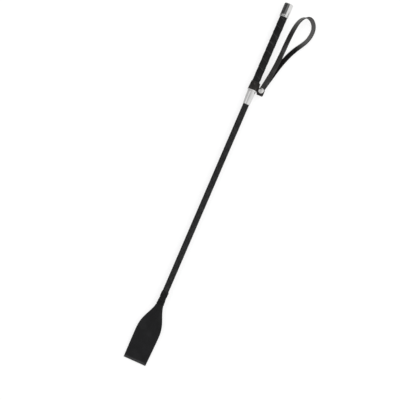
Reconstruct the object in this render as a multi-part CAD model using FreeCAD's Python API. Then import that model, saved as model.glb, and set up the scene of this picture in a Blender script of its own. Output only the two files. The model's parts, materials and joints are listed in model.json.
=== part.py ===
"""Riding crop with a leather tongue, a leather-wound grip, chrome fittings and a riveted wrist strap.

The crop lies flat, as on a table. +Y runs along the shaft towards the butt cap, the wrist strap
lies on the +X side and +Z is up. The origin is on the shaft's axis at the middle of the grip.
All lengths are in millimetres.
"""

import FreeCAD, Part
import math
import os

V = FreeCAD.Vector
X_AXIS = V(1, 0, 0)
Y_AXIS = V(0, 1, 0)
Z_AXIS = V(0, 0, 1)

# ---- driving dimensions -------------------------------------------------------------------

TABLE_Z = -8.3            # the surface that the crop lies on
GLUE_GAP = 0.02           # between pieces that are glued or tied together
RUNNING_GAP = 0.05        # radial, between a pin or stub and what turns on it
BODY_GAP = 0.3            # between faces that move past each other

# core and covering of the shaft
ROD_R = 2.5               # fibreglass rod
FILLER_R = 4.35           # cotton yarns laid round the rod
BRAID_R = 5.25            # outside of the braided cover
BRAID_END_Y = -446.0      # hidden under the knot
ROD_TOP_Y = 62.0
ROD_TIP_Y = -462.0

# handle
GRIP_R = 6.6              # outside of the wound leather
HANDLE_CORE_R = 5.2
SPIGOT_R = 6.75           # part of the handle core that the cap sits on
GRIP_TOP_Y = 59.5
GRIP_END_Y = -59.0

# butt cap
CAP_R = 7.6
CAP_WALL = 0.8
CAP_TOP_Y = 84.2
CAP_EDGE_R = 1.6          # rounding at the top edge
CAP_CROWN = 0.35          # how far the top face swells
RING_R = 7.8
RING_LENGTH = 1.4
TACK_R = 0.9
TACK_HEAD_R = 4.0
TACK_LENGTH = 14.0

# ferrule
STUB_TOP_Y = -61.1        # hidden stub that the cuff turns on
STUB_R = 6.2
BEAD_TOP_Y = -73.5
BEAD_LENGTH = 2.5
BEAD_R = 8.3
SLEEVE_TOP_R = 7.0
SLEEVE_MIDDLE_R = 6.7
SLEEVE_END_R = 5.75
SLEEVE_END_Y = -100.2

# leather cuff with its ear, and the rivet
CUFF_TOP_Y = GRIP_END_Y - BODY_GAP
CUFF_END_Y = BEAD_TOP_Y + BODY_GAP
CUFF_TOP_R = 7.5
CUFF_END_R = 8.15
PLY = 1.4                 # thickness of the cuff's leather
EAR_X = 20.1
EAR_TOP_Y = -66.3
EAR_END_Y = -78.0
EAR_CORNER_R = 1.6
RIVET_X = 13.9
RIVET_Y = -69.6
RIVET_CAP_R = 4.7
RIVET_DOME = 2.1
RIVET_BACK_DOME = 1.3
RIVET_SHANK_R = 1.7
RIVET_POST_R = 1.0

# wrist strap
STRAP_WIDTH = 8.7
STRAP_THICKNESS = 1.7
STRAP_GAP = 0.15          # between the strap's ends and the ear or the rivet's caps
STRAP_STATIONS = 44
TAB_LENGTH = 7.0          # flat part of each end, from the rivet's axis
FRONT_TAB_ANGLE = 10.0    # from +Y towards +X
BACK_TAB_ANGLE = 12.5

# where the middle of the strap runs between its flat ends, from front to back: x, y, z, and how
# far it has rolled about its own length, in degrees (0 has the outside of the loop facing up)
STRAP_END_Z = PLY + STRAP_GAP + STRAP_THICKNESS / 2
STRAP_ROUTE = [
    (16.5, -54.0, 2.7, 4.0),
    (17.9, -44.8, 3.5, 12.0),
    (19.5, -31.4, 4.5, 22.0),
    (20.6, -18.0, 5.0, 25.0),
    (21.3, -4.7, 5.2, 27.0),
    (21.8, 15.4, 5.2, 28.0),
    (22.6, 35.4, 4.8, 31.0),
    (24.1, 50.4, 3.9, 38.0),
    (27.2, 63.5, 2.7, 50.0),
    (33.3, 72.3, 1.5, 72.0),
    (41.3, 75.0, 0.0, 116.0),
    (48.9, 70.5, -2.0, 134.0),
    (53.9, 60.9, -3.5, 136.0),
    (54.3, 50.0, -4.2, 138.0),
    (50.6, 36.3, -4.4, 139.0),
    (42.8, 22.6, -4.5, 148.0),
    (35.6, 8.9, -4.5, 155.0),
    (30.2, -4.7, -4.3, 159.0),
    (26.0, -18.0, -3.9, 162.0),
    (22.6, -31.4, -3.3, 167.0),
    (19.6, -44.8, -2.8, 173.0),
    (17.4, -54.0, -2.5, 177.0),
]

# neck of the tongue and what ties it to the shaft
NECK_R = 5.1
NECK_END_R = 5.95
NECK_CONE_Y = -451.0
WHIPPING_END_Y = -464.0
WHIPPING_TOP_R = 5.85
WHIPPING_END_R = 6.8
KNOT_TOP_Y = -440.2
KNOT_END_Y = -450.7
KNOT_R = 6.1
KNOT_ROUNDING = 1.0

# tongue, drawn flat from its hinge line and then turned to droop and lean
HINGE_Y = -470.0
HINGE_R = 4.8             # half the thickness at the hinge line
HINGE_HALF_WIDTH = 7.7
TONGUE_LENGTH = 96.2
TONGUE_THICKNESS = 4.0
TONGUE_LEAN_DEG = -1.0
TONGUE_OUTLINE = [        # distance from the hinge line, half width
    (0.0, HINGE_HALF_WIDTH),
    (9.0, 11.2),
    (22.0, 16.7),
    (36.0, 20.1),
    (50.0, 20.6),
    (TONGUE_LENGTH, 19.6),
]
TONGUE_TAPER = 32.0       # length over which the neck flattens out
TONGUE_SIDE = [           # distance from the hinge line, half thickness
    (0.0, HINGE_R),
    (6.0, 3.85),
    (14.0, 2.95),
    (23.0, 2.3),
    (TONGUE_TAPER, TONGUE_THICKNESS / 2),
]
STIFFENER_THICKNESS = 0.8
STIFFENER_INSET = 3.6
STIFFENER_START = 34.0
STITCH_INSET = 2.4
STITCH_START = 40.0
STITCH_PITCH = 3.6
STITCH_COUNT = 15
STITCH_LENGTH = 2.7
STITCH_WIDTH = 0.7
STITCH_DEPTH = 0.45
GROOVE_WIDTH = 1.0


# ---- helpers ------------------------------------------------------------------------------

def revolve(profile):
    """A solid turned about the Y axis from (radius, y) points, and arcs given as (start, middle, end)."""
    edges = []
    for item, following in zip(profile, profile[1:] + profile[:1]):
        start, end = last_point(item), first_point(following)
        if is_arc(item):
            points = [V(r, y, 0) for r, y in item]
            edges.append(Part.Arc(*points).toShape())
        if start != end:
            edges.append(Part.makeLine(V(start[0], start[1], 0), V(end[0], end[1], 0)))
    face = Part.Face(Part.Wire(edges))
    return face.revolve(V(0, 0, 0), Y_AXIS, 360)


def is_arc(item):
    return isinstance(item[0], tuple)


def first_point(item):
    return item[0] if is_arc(item) else item


def last_point(item):
    return item[-1] if is_arc(item) else item


def tube(outer_r, inner_r, low_y, high_y):
    return revolve([(inner_r, low_y), (outer_r, low_y), (outer_r, high_y), (inner_r, high_y)])


def crown_rise(radius, rise, at):
    """Height of a spherical crown above its rim, at a distance from the axis."""
    sphere_r = (radius ** 2 + rise ** 2) / (2 * rise)
    return math.sqrt(sphere_r ** 2 - at ** 2) - (sphere_r - rise)


def cylinder_y(radius, low_y, high_y):
    return Part.makeCylinder(radius, high_y - low_y, V(0, low_y, 0), Y_AXIS)


def polygon(points):
    return Part.makePolygon(points + points[:1])


def oval_wire(curve, y):
    """Closed wire across the Y axis from a circle or ellipse drawn about the origin."""
    edge = curve.toShape()
    edge.rotate(V(0, 0, 0), X_AXIS, 90)
    edge.translate(V(0, y, 0))
    return Part.Wire(edge)


def smooth_edge(points):
    curve = Part.BSplineCurve()
    curve.interpolate(points)
    return curve.toShape()


# ---- shaft --------------------------------------------------------------------------------

def core_rod():
    return cylinder_y(ROD_R, ROD_TIP_Y, ROD_TOP_Y)


def filler_yarns():
    return tube(FILLER_R, ROD_R + GLUE_GAP, BRAID_END_Y, STUB_TOP_Y)


def shaft_braid():
    return tube(BRAID_R, FILLER_R + GLUE_GAP, BRAID_END_Y, STUB_TOP_Y)


# ---- handle -------------------------------------------------------------------------------

def handle_core():
    """Turned wooden core: bored for the rod and the tack, with a thicker spigot for the cap."""
    bore_r = ROD_R + GLUE_GAP
    low_y = STUB_TOP_Y + GLUE_GAP
    top_y = CAP_TOP_Y - CAP_WALL - 1.0
    core = cylinder_y(HANDLE_CORE_R, low_y, GRIP_TOP_Y)
    core = core.fuse(cylinder_y(SPIGOT_R, GRIP_TOP_Y, top_y)).removeSplitter()
    core = core.cut(cylinder_y(bore_r, low_y - 1, ROD_TOP_Y + GLUE_GAP))
    return core.cut(cylinder_y(TACK_R + GLUE_GAP, top_y - TACK_LENGTH - 1, top_y + 1))


def grip_wrap():
    return tube(GRIP_R, HANDLE_CORE_R + GLUE_GAP, GRIP_END_Y, GRIP_TOP_Y - GLUE_GAP)


def cap_ring():
    """Rolled ring between the grip and the cap."""
    low_y, high_y = GRIP_TOP_Y, GRIP_TOP_Y + RING_LENGTH
    middle_y = (low_y + high_y) / 2
    inner_r = SPIGOT_R + GLUE_GAP
    shoulder_r = RING_R - RING_LENGTH / 2
    roll = ((shoulder_r, low_y), (RING_R, middle_y), (shoulder_r, high_y))
    return revolve([(inner_r, low_y), roll, (inner_r, high_y)])


def butt_cap():
    """Drawn metal cup with a softly rounded edge and a slightly crowned top."""
    base_y = GRIP_TOP_Y + RING_LENGTH + GLUE_GAP
    inner_r = SPIGOT_R + GLUE_GAP
    edge_y = CAP_TOP_Y - CAP_CROWN - CAP_EDGE_R
    flat_r = CAP_R - CAP_EDGE_R
    diagonal = CAP_EDGE_R * math.sqrt(0.5)
    edge = (
        (CAP_R, edge_y),
        (flat_r + diagonal, edge_y + diagonal),
        (flat_r, edge_y + CAP_EDGE_R),
    )
    crown = (
        (flat_r, edge_y + CAP_EDGE_R),
        (flat_r / 2, edge_y + CAP_EDGE_R + crown_rise(flat_r, CAP_CROWN, flat_r / 2)),
        (0, CAP_TOP_Y),
    )
    inside_y = CAP_TOP_Y - CAP_CROWN - CAP_WALL
    return revolve([(inner_r, base_y), (CAP_R, base_y), edge, crown, (0, inside_y), (inner_r, inside_y)])


def cap_tack():
    """Tack inside the cap that is driven into the spigot."""
    spigot_top = CAP_TOP_Y - CAP_WALL - 1.0
    head_top = CAP_TOP_Y - CAP_CROWN - CAP_WALL - GLUE_GAP
    head = cylinder_y(TACK_HEAD_R, spigot_top + GLUE_GAP, head_top)
    tip = Part.makeCone(0.2, TACK_R, 2.0, V(0, spigot_top - TACK_LENGTH, 0), Y_AXIS)
    shank = cylinder_y(TACK_R, spigot_top - TACK_LENGTH + 2.0, spigot_top + GLUE_GAP)
    return head.fuse([shank, tip]).removeSplitter()


# ---- ferrule ------------------------------------------------------------------------------

def ferrule_sleeve():
    """Sleeve that curves in towards the shaft, with the stub that the cuff turns on."""
    inner_r = BRAID_R + RUNNING_GAP
    bead_end = BEAD_TOP_Y - BEAD_LENGTH
    shoulder = bead_end - GLUE_GAP
    taper = (
        (SLEEVE_END_R, SLEEVE_END_Y),
        (SLEEVE_MIDDLE_R, (SLEEVE_END_Y + shoulder) / 2),
        (SLEEVE_TOP_R, shoulder),
    )
    return revolve([
        (inner_r, SLEEVE_END_Y),
        taper,
        (STUB_R, shoulder),
        (STUB_R, STUB_TOP_Y),
        (inner_r, STUB_TOP_Y),
    ])


def ferrule_bead():
    """Half-round bead that stops the cuff."""
    bead_end = BEAD_TOP_Y - BEAD_LENGTH
    inner_r = STUB_R + GLUE_GAP
    flank_r = BEAD_R - BEAD_LENGTH / 2
    roll = ((flank_r, bead_end), (BEAD_R, (BEAD_TOP_Y + bead_end) / 2), (flank_r, BEAD_TOP_Y))
    return revolve([(inner_r, bead_end), roll, (inner_r, BEAD_TOP_Y)])


# ---- cuff, rivet and wrist strap ----------------------------------------------------------

def ear_plate():
    """Both ends of the cuff's leather, laid together and cut square below the rivet."""
    clear_r = BEAD_R + BODY_GAP + 0.1
    corners = [
        V(STUB_R + 0.6, EAR_TOP_Y, -PLY),
        V(EAR_X, EAR_TOP_Y, -PLY),
        V(EAR_X, EAR_END_Y, -PLY),
        V(clear_r, EAR_END_Y, -PLY),
        V(clear_r, CUFF_END_Y, -PLY),
        V(STUB_R + 0.6, CUFF_END_Y, -PLY),
    ]
    plate = Part.Face(polygon(corners)).extrude(V(0, 0, 2 * PLY))
    outer_edges = [
        edge for edge in plate.Edges
        if abs(edge.Vertexes[0].X - EAR_X) < 0.01 and abs(edge.Vertexes[-1].X - EAR_X) < 0.01
        and abs(edge.Vertexes[0].Z - edge.Vertexes[-1].Z) > 1
    ]
    return plate.makeFillet(EAR_CORNER_R, outer_edges)


def strap_cuff():
    """Leather band that turns on the ferrule's stub, with the ear that holds the strap."""
    inner_r = STUB_R + RUNNING_GAP
    band = revolve([
        (inner_r, CUFF_END_Y),
        (CUFF_END_R, CUFF_END_Y),
        (CUFF_TOP_R, CUFF_TOP_Y),
        (inner_r, CUFF_TOP_Y),
    ])
    hole = Part.makeCylinder(RIVET_SHANK_R + GLUE_GAP, 20, V(RIVET_X, RIVET_Y, -10), Z_AXIS)
    cuff = band.fuse(ear_plate()).removeSplitter()
    return cuff.cut(hole)


def dome(radius, height, base_z, up):
    """Spherical cap of a rivet with a short straight edge, standing on base_z."""
    edge = 0.5
    rise = height - edge
    middle_r = radius / 2
    middle_z = edge + crown_rise(radius, rise, middle_r)
    arc = Part.Arc(V(radius, 0, edge), V(middle_r, 0, middle_z), V(0, 0, height)).toShape()
    lines = [
        Part.makeLine(V(0, 0, height), V(0, 0, 0)),
        Part.makeLine(V(0, 0, 0), V(radius, 0, 0)),
        Part.makeLine(V(radius, 0, 0), V(radius, 0, edge)),
    ]
    solid = Part.Face(Part.Wire([arc] + lines)).revolve(V(0, 0, 0), Z_AXIS, 360)
    if not up:
        solid.rotate(V(0, 0, 0), X_AXIS, 180)
    solid.translate(V(RIVET_X, RIVET_Y, base_z))
    return solid


STACK_Z = PLY + 2 * STRAP_GAP + STRAP_THICKNESS   # from the middle of the ear to a rivet cap


def rivet_cap():
    cap = dome(RIVET_CAP_R, RIVET_DOME, STACK_Z, True)
    post = Part.makeCylinder(RIVET_POST_R, 2 * STACK_Z - 0.4, V(RIVET_X, RIVET_Y, 0.4 - STACK_Z), Z_AXIS)
    return cap.fuse(post).removeSplitter()


def rivet_back():
    """Back cap with the hollow shank that the post is pressed into."""
    cap = dome(RIVET_CAP_R, RIVET_BACK_DOME, -STACK_Z, False)
    place = V(RIVET_X, RIVET_Y, -STACK_Z)
    shank = Part.makeCylinder(RIVET_SHANK_R, 2 * STACK_Z - GLUE_GAP, place, Z_AXIS)
    socket = Part.makeCylinder(RIVET_POST_R + GLUE_GAP, 2 * STACK_Z, place + V(0, 0, 0.4 - GLUE_GAP), Z_AXIS)
    return cap.fuse(shank).removeSplitter().cut(socket)


def tab_point(angle, distance, z):
    """A point on a flat end of the strap, at a distance from the rivet."""
    turn = math.radians(angle)
    return V(RIVET_X + distance * math.sin(turn), RIVET_Y + distance * math.cos(turn), z)


def strap_tab(angle, z):
    """Flat end of the strap, round about the rivet."""
    half = V(math.cos(math.radians(angle)), -math.sin(math.radians(angle)), 0) * (STRAP_WIDTH / 2)
    low_z = z - STRAP_THICKNESS / 2
    near = tab_point(angle, 0, low_z)
    far = tab_point(angle, TAB_LENGTH, low_z)
    round_end = Part.Arc(near - half, tab_point(angle, -STRAP_WIDTH / 2, low_z), near + half).toShape()
    sides = [
        Part.makeLine(near + half, far + half),
        Part.makeLine(far + half, far - half),
        Part.makeLine(far - half, near - half),
    ]
    tab = Part.Face(Part.Wire([round_end] + sides)).extrude(V(0, 0, STRAP_THICKNESS))
    hole = Part.makeCylinder(RIVET_SHANK_R + RUNNING_GAP, 20, V(RIVET_X, RIVET_Y, -10), Z_AXIS)
    return tab.cut(hole)


def strap_section(middle, along, roll):
    """Rectangle across the strap at one place of its route."""
    level = V(along.x, along.y, 0).normalize()
    left = V(-level.y, level.x, 0)
    outward = Z_AXIS * math.cos(math.radians(roll)) + left * math.sin(math.radians(roll))
    across = along.cross(outward).normalize() * (STRAP_WIDTH / 2)
    outward = across.cross(along).normalize() * (STRAP_THICKNESS / 2)
    corners = [across + outward, across - outward, -across - outward, -across + outward]
    return polygon([middle + corner for corner in corners])


def wrist_strap():
    """Flat leather strap bent into a loop, both ends round the rivet, one each side of the ear."""
    front = tab_point(FRONT_TAB_ANGLE, TAB_LENGTH, STRAP_END_Z)
    back = tab_point(BACK_TAB_ANGLE, TAB_LENGTH, -STRAP_END_Z)
    points = [front] + [V(x, y, z) for x, y, z, roll in STRAP_ROUTE] + [back]
    rolls = [0.0] + [roll for x, y, z, roll in STRAP_ROUTE] + [180.0]
    steps = [0.0]
    for here, there in zip(points, points[1:]):
        steps.append(steps[-1] + here.distanceToPoint(there))
    line = Part.BSplineCurve()
    line.interpolate(Points=points, Parameters=steps)
    turning = Part.BSplineCurve()
    turning.interpolate(Points=[V(roll, 0, 0) for roll in rolls], Parameters=steps)

    front_along = tab_point(FRONT_TAB_ANGLE, 1, 0) - tab_point(FRONT_TAB_ANGLE, 0, 0)
    back_along = tab_point(BACK_TAB_ANGLE, 0, 0) - tab_point(BACK_TAB_ANGLE, 1, 0)
    sections = [strap_section(front, front_along, 0)]
    for i in range(1, STRAP_STATIONS):
        step = steps[-1] * i / STRAP_STATIONS
        sections.append(strap_section(line.value(step), line.tangent(step)[0], turning.value(step).x))
    sections.append(strap_section(back, back_along, 180))
    loop = Part.makeLoft(sections, True, True)
    tabs = [strap_tab(FRONT_TAB_ANGLE, STRAP_END_Z), strap_tab(BACK_TAB_ANGLE, -STRAP_END_Z)]
    print("wrist strap, rivet to rivet: %.1f mm" % (line.toShape().Length + 2 * TAB_LENGTH))
    return loop.fuse(tabs)


# ---- neck of the tongue -------------------------------------------------------------------

def tongue_neck():
    """Rolled leather root of the tongue: round over the rod, oval and hollowed at the hinge line."""
    top_y = BRAID_END_Y - GLUE_GAP
    root = revolve([
        (0, WHIPPING_END_Y),
        (NECK_END_R, WHIPPING_END_Y),
        (NECK_R, NECK_CONE_Y),
        (NECK_R, top_y),
        (0, top_y),
    ])
    round_end = oval_wire(Part.Circle(V(0, 0, 0), Z_AXIS, NECK_END_R), WHIPPING_END_Y)
    oval_end = oval_wire(Part.Ellipse(V(0, 0, 0), HINGE_HALF_WIDTH, HINGE_R), HINGE_Y)
    flare = Part.makeLoft([round_end, oval_end], True, True)
    socket_r = HINGE_R + BODY_GAP
    socket = Part.makeCylinder(socket_r, 40, V(-20, HINGE_Y, 0), X_AXIS)
    neck = root.fuse(flare).removeSplitter().cut(socket)
    return neck.cut(cylinder_y(ROD_R + GLUE_GAP, ROD_TIP_Y - GLUE_GAP, top_y + 1))


def neck_whipping():
    """Thread wound side by side round the neck."""
    gap = GLUE_GAP
    return revolve([
        (NECK_END_R + gap, WHIPPING_END_Y),
        (WHIPPING_END_R, WHIPPING_END_Y),
        (WHIPPING_TOP_R, NECK_CONE_Y),
        (NECK_R + gap, NECK_CONE_Y),
    ])


def neck_knot():
    """Woven knot over the end of the braid and the start of the leather."""
    inner_r = BRAID_R + GLUE_GAP
    ease = KNOT_ROUNDING
    middle = ease * (1 - math.sqrt(0.5))
    low_round = (
        (KNOT_R - ease + 0.2, KNOT_END_Y),
        (KNOT_R - middle, KNOT_END_Y + middle),
        (KNOT_R, KNOT_END_Y + ease),
    )
    high_round = (
        (KNOT_R, KNOT_TOP_Y - ease),
        (KNOT_R - middle, KNOT_TOP_Y - middle),
        (KNOT_R - ease + 0.2, KNOT_TOP_Y),
    )
    return revolve([(inner_r, KNOT_END_Y), low_round, high_round, (inner_r, KNOT_TOP_Y)])


# ---- tongue -------------------------------------------------------------------------------

def droop_degrees():
    """How far the tongue turns down so that its end lies on the table."""
    drop = -TABLE_Z - TONGUE_THICKNESS / 2
    reach = TONGUE_LENGTH - TONGUE_THICKNESS / 2
    return math.degrees(math.asin(drop / reach))


def place_tongue(shape):
    """Turns a piece drawn flat, with the hinge line through the origin, to its place."""
    shape.rotate(V(0, 0, 0), Z_AXIS, TONGUE_LEAN_DEG)
    shape.rotate(V(0, 0, 0), X_AXIS, droop_degrees())
    shape.translate(V(0, HINGE_Y, 0))
    return shape


def outline_prism(inset, start, end, half_height):
    """Solid with the tongue's outline, drawn in by inset, between two distances from the hinge."""
    points = [V(width - inset, -distance, -half_height) for distance, width in TONGUE_OUTLINE]
    mirrored = [V(-p.x, p.y, p.z) for p in points]
    right = smooth_edge(points)
    left = smooth_edge(mirrored)
    tip = Part.makeLine(points[-1], mirrored[-1])
    root = Part.makeLine(points[0], mirrored[0])
    prism = Part.Face(Part.Wire(Part.__sortEdges__([right, tip, left, root])))
    prism = prism.extrude(V(0, 0, 2 * half_height))
    span = Part.makeBox(60, end - start, 4 * half_height, V(-30, -end, -2 * half_height))
    return prism.common(span)


def side_profile():
    """Solid with the tongue's thickness seen from the side: a round root, a taper, a folded end."""
    half = TONGUE_THICKNESS / 2
    end = TONGUE_LENGTH - half
    top = smooth_edge([V(0, -distance, height) for distance, height in TONGUE_SIDE])
    bottom = smooth_edge([V(0, -distance, -height) for distance, height in TONGUE_SIDE])
    root = Part.Arc(V(0, 0, HINGE_R), V(0, HINGE_R, 0), V(0, 0, -HINGE_R)).toShape()
    fold = Part.Arc(V(0, -end, half), V(0, -end - half, 0), V(0, -end, -half)).toShape()
    flat_top = Part.makeLine(V(0, -TONGUE_TAPER, half), V(0, -end, half))
    flat_bottom = Part.makeLine(V(0, -TONGUE_TAPER, -half), V(0, -end, -half))
    edges = Part.__sortEdges__([root, top, flat_top, fold, flat_bottom, bottom])
    face = Part.Face(Part.Wire(edges))
    face.translate(V(-30, 0, 0))
    return face.extrude(V(60, 0, 0))


def knuckle():
    """Round root that turns in the neck's hollow."""
    width = 2 * HINGE_HALF_WIDTH
    return Part.makeCylinder(HINGE_R, width, V(-width / 2, 0, 0), X_AXIS)


def stitch_x(distance, side):
    """Sideways place of a seam at a distance from the hinge line."""
    (near, near_width), (far, far_width) = TONGUE_OUTLINE[-2:]
    share = (distance - near) / (far - near)
    return side * (near_width + share * (far_width - near_width) - STITCH_INSET)


def seam_bar(start, end, side, face, width, depth):
    """Bar let into one face of the tongue along a seam."""
    half = TONGUE_THICKNESS / 2
    low_z = half - depth if face > 0 else -half
    near_x, far_x = stitch_x(start, side), stitch_x(end, side)
    corners = [
        V(near_x - width / 2, -start, low_z),
        V(near_x + width / 2, -start, low_z),
        V(far_x + width / 2, -end, low_z),
        V(far_x - width / 2, -end, low_z),
    ]
    return Part.Face(polygon(corners)).extrude(V(0, 0, depth))


def seam_grooves():
    start = STITCH_START - 1
    end = STITCH_START + STITCH_COUNT * STITCH_PITCH
    return [
        seam_bar(start, end, side, face, GROOVE_WIDTH, STITCH_DEPTH + GLUE_GAP)
        for side in (-1, 1) for face in (-1, 1)
    ]


def tongue_leather():
    """One piece of leather folded at the free end, round its stiffener."""
    blade = outline_prism(0, 0, TONGUE_LENGTH, 8).common(side_profile())
    blade = blade.fuse(knuckle()).removeSplitter()
    half = STIFFENER_THICKNESS / 2 + GLUE_GAP
    end = TONGUE_LENGTH - STIFFENER_INSET + GLUE_GAP
    pocket = outline_prism(STIFFENER_INSET - GLUE_GAP, STIFFENER_START - GLUE_GAP, end, half)
    for cut in [pocket] + seam_grooves():
        blade = blade.cut(cut)
    return place_tongue(blade)


def tongue_stiffener():
    """Thin board between the two plies."""
    end = TONGUE_LENGTH - STIFFENER_INSET
    board = outline_prism(STIFFENER_INSET, STIFFENER_START, end, STIFFENER_THICKNESS / 2)
    return place_tongue(board)


def tongue_stitching():
    """Two seams, shown on both faces, of separate stitches."""
    stitches = []
    for side in (-1, 1):
        for face in (-1, 1):
            for number in range(STITCH_COUNT):
                start = STITCH_START + number * STITCH_PITCH
                bar = seam_bar(start, start + STITCH_LENGTH, side, face, STITCH_WIDTH, STITCH_DEPTH)
                stitches.append(place_tongue(bar))
    return Part.makeCompound(stitches)


PIECES = [
    core_rod, filler_yarns, shaft_braid,
    handle_core, grip_wrap, cap_ring, butt_cap, cap_tack,
    ferrule_sleeve, ferrule_bead,
    strap_cuff, rivet_cap, rivet_back, wrist_strap,
    tongue_neck, neck_whipping, neck_knot,
    tongue_leather, tongue_stiffener, tongue_stitching,
]

os.makedirs("parts", exist_ok=True)
for make in PIECES:
    shape = make()
    shape.exportStep("parts/%s.step" % make.__name__)
    box = shape.optimalBoundingBox()
    print("%-18s solids %3d valid %s volume %9.1f  x %6.1f..%6.1f  y %7.1f..%7.1f  z %6.2f..%6.2f" % (
        make.__name__, len(shape.Solids), shape.isValid(), shape.Volume,
        box.XMin, box.XMax, box.YMin, box.YMax, box.ZMin, box.ZMax))
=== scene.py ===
# Looks of the riding crop: braided shaft, wound leather grip, chrome fittings, riveted wrist
# strap and stitched leather tongue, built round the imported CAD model. Lengths that describe a
# shape are in millimetres and become metres in Skin.build(); those of the floor, the cards, the
# lamps and the camera are in metres.

import json
import math

import bmesh
import bpy
import numpy as np
from mathutils import Matrix, Vector


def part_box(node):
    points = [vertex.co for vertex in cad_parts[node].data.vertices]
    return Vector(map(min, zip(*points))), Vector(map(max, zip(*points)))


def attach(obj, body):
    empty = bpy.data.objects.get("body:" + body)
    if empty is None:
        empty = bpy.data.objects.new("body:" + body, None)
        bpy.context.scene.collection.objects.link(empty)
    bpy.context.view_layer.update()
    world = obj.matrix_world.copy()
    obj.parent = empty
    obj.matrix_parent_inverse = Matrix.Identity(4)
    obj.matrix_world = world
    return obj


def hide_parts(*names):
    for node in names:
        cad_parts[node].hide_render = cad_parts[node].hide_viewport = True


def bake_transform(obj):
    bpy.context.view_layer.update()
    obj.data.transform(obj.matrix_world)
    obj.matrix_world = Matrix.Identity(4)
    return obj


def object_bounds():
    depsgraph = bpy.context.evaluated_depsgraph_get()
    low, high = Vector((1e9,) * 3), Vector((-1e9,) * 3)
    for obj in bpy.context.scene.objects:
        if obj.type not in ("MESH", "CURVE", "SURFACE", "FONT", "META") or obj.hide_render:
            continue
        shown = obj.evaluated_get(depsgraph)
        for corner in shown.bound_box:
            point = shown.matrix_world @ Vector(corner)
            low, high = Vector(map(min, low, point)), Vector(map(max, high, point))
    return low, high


MM = 0.001

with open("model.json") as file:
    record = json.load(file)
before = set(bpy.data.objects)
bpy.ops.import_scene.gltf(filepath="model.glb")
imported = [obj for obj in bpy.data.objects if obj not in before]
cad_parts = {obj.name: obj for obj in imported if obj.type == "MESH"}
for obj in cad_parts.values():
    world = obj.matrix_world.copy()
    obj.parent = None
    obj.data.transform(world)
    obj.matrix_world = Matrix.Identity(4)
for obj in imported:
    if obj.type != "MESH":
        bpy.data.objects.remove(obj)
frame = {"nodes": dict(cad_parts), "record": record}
cad_low, cad_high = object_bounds()


# ---- sizes read from the frame ----

def mm_box(node):
    """Lowest and highest corner of a CAD node, in millimetres."""
    low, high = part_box(node)
    return Vector(low) / MM, Vector(high) / MM


def joint_place(name):
    joints = frame["record"]["behaviour"]["joints"]
    return [Vector(j["pos_m"]) / MM for j in joints if j["name"] == name][0]


TABLE_Z = cad_low.z / MM
GRIP_LOW, GRIP_HIGH = mm_box("grip_wrap")
CAP_LOW, CAP_HIGH = mm_box("butt_cap")
RING_LOW, RING_HIGH = mm_box("cap_ring")
SLEEVE_LOW, SLEEVE_HIGH = mm_box("ferrule_sleeve")
BEAD_LOW, BEAD_HIGH = mm_box("ferrule_bead")
BRAID_LOW, BRAID_HIGH = mm_box("shaft_braid")
KNOT_LOW, KNOT_HIGH = mm_box("neck_knot")
WHIP_LOW, WHIP_HIGH = mm_box("neck_whipping")
CUFF_LOW, CUFF_HIGH = mm_box("strap_cuff")
RIVET_LOW, RIVET_HIGH = mm_box("rivet_cap")
BACK_LOW = mm_box("rivet_back")[0]
RIVET = joint_place("strap_pivot")
HINGE = joint_place("tongue_flex")


# ---- mesh helpers ----

def smoothstep(value):
    value = np.clip(value, 0.0, 1.0)
    return value * value * (3 - 2 * value)


def ripple(*coords, size=1.0, seed=0.0):
    """Smooth uneven value from about -1 to 1 that varies over the given size."""
    total = 0.0
    for k, gain in enumerate((0.5, 0.3, 0.2)):
        phase = seed * 1.7 + 2.1 * k
        for n, c in enumerate(coords):
            phase = phase + np.sin(c / size * (1.3 + 0.77 * k + 0.31 * n) + 1.9 * n + seed + k)
        total = total + gain * np.sin(phase * 1.9)
    return total


def natural_spline(points, steps):
    """Function for the natural cubic spline through rows of numbers at the given steps."""
    points = np.asarray(points, float)
    steps = np.asarray(steps, float)
    gaps = np.diff(steps)
    size = len(points)
    matrix = np.eye(size)
    right = np.zeros_like(points)
    for i in range(1, size - 1):
        matrix[i, i - 1:i + 2] = gaps[i - 1], 2 * (gaps[i - 1] + gaps[i]), gaps[i]
        after, before = points[i + 1] - points[i], points[i] - points[i - 1]
        right[i] = 6 * (after / gaps[i] - before / gaps[i - 1])
    bend = np.linalg.solve(matrix, right)

    def value(at):
        at = np.atleast_1d(np.asarray(at, float))
        i = np.clip(np.searchsorted(steps, at) - 1, 0, size - 2)
        gap = gaps[i][:, None]
        b = (at - steps[i])[:, None] / gap
        a = 1 - b
        curve = ((a ** 3 - a) * bend[i] + (b ** 3 - b) * bend[i + 1]) * gap ** 2 / 6
        return a * points[i] + b * points[i + 1] + curve

    return value


def chord_steps(points):
    gaps = np.linalg.norm(np.diff(np.asarray(points, float), axis=0), axis=1)
    return np.concatenate([[0.0], np.cumsum(gaps)])


def arc(centre, radius, start, end, count):
    """Points of an arc in (radius, y), angles in degrees from outward towards +Y."""
    angles = np.radians(np.linspace(start, end, count))
    return [(centre[0] + radius * math.cos(a), centre[1] + radius * math.sin(a)) for a in angles]


def new_object(name, data):
    made = bpy.data.objects.new(name, data)
    bpy.context.scene.collection.objects.link(made)
    return made


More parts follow.
